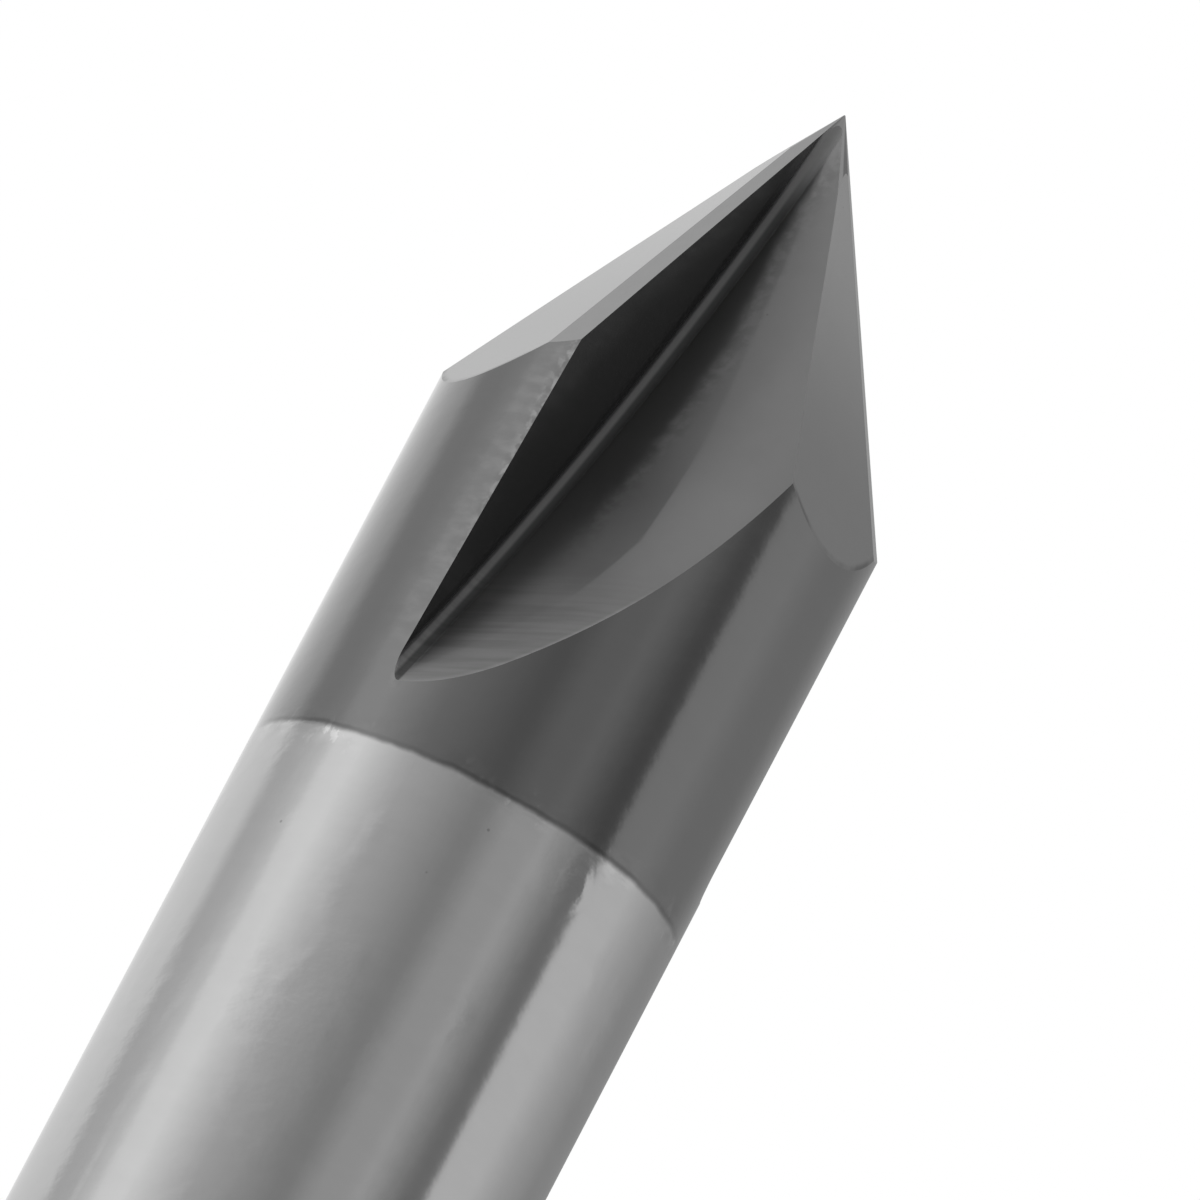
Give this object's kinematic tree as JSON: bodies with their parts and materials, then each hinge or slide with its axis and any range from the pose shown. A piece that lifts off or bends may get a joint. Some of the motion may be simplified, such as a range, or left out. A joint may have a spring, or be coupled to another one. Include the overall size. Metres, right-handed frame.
{
  "type": "chamfer mill",
  "caption": "Solid carbide chamfer mill: a straight ground shank that ends in a pointed conical cutter with straight flutes.",
  "frame": {"origin": "centre of the flat shank end, on the tool's axis, where the tool stands", "axes": "+Z along the tool's axis from the shank end to the point; the first cutting edge lies in the half plane of +X"},
  "size_m": [0.006, 0.006, 0.05],
  "materials": {
    "ground_carbide": "fine ground cemented carbide; the cutting end has a thin dark grey hard coating and the shank behind it is bare"
  },
  "bodies": {
    "root": {"chamfer_mill": "ground_carbide"}
  },
  "joints": []
}
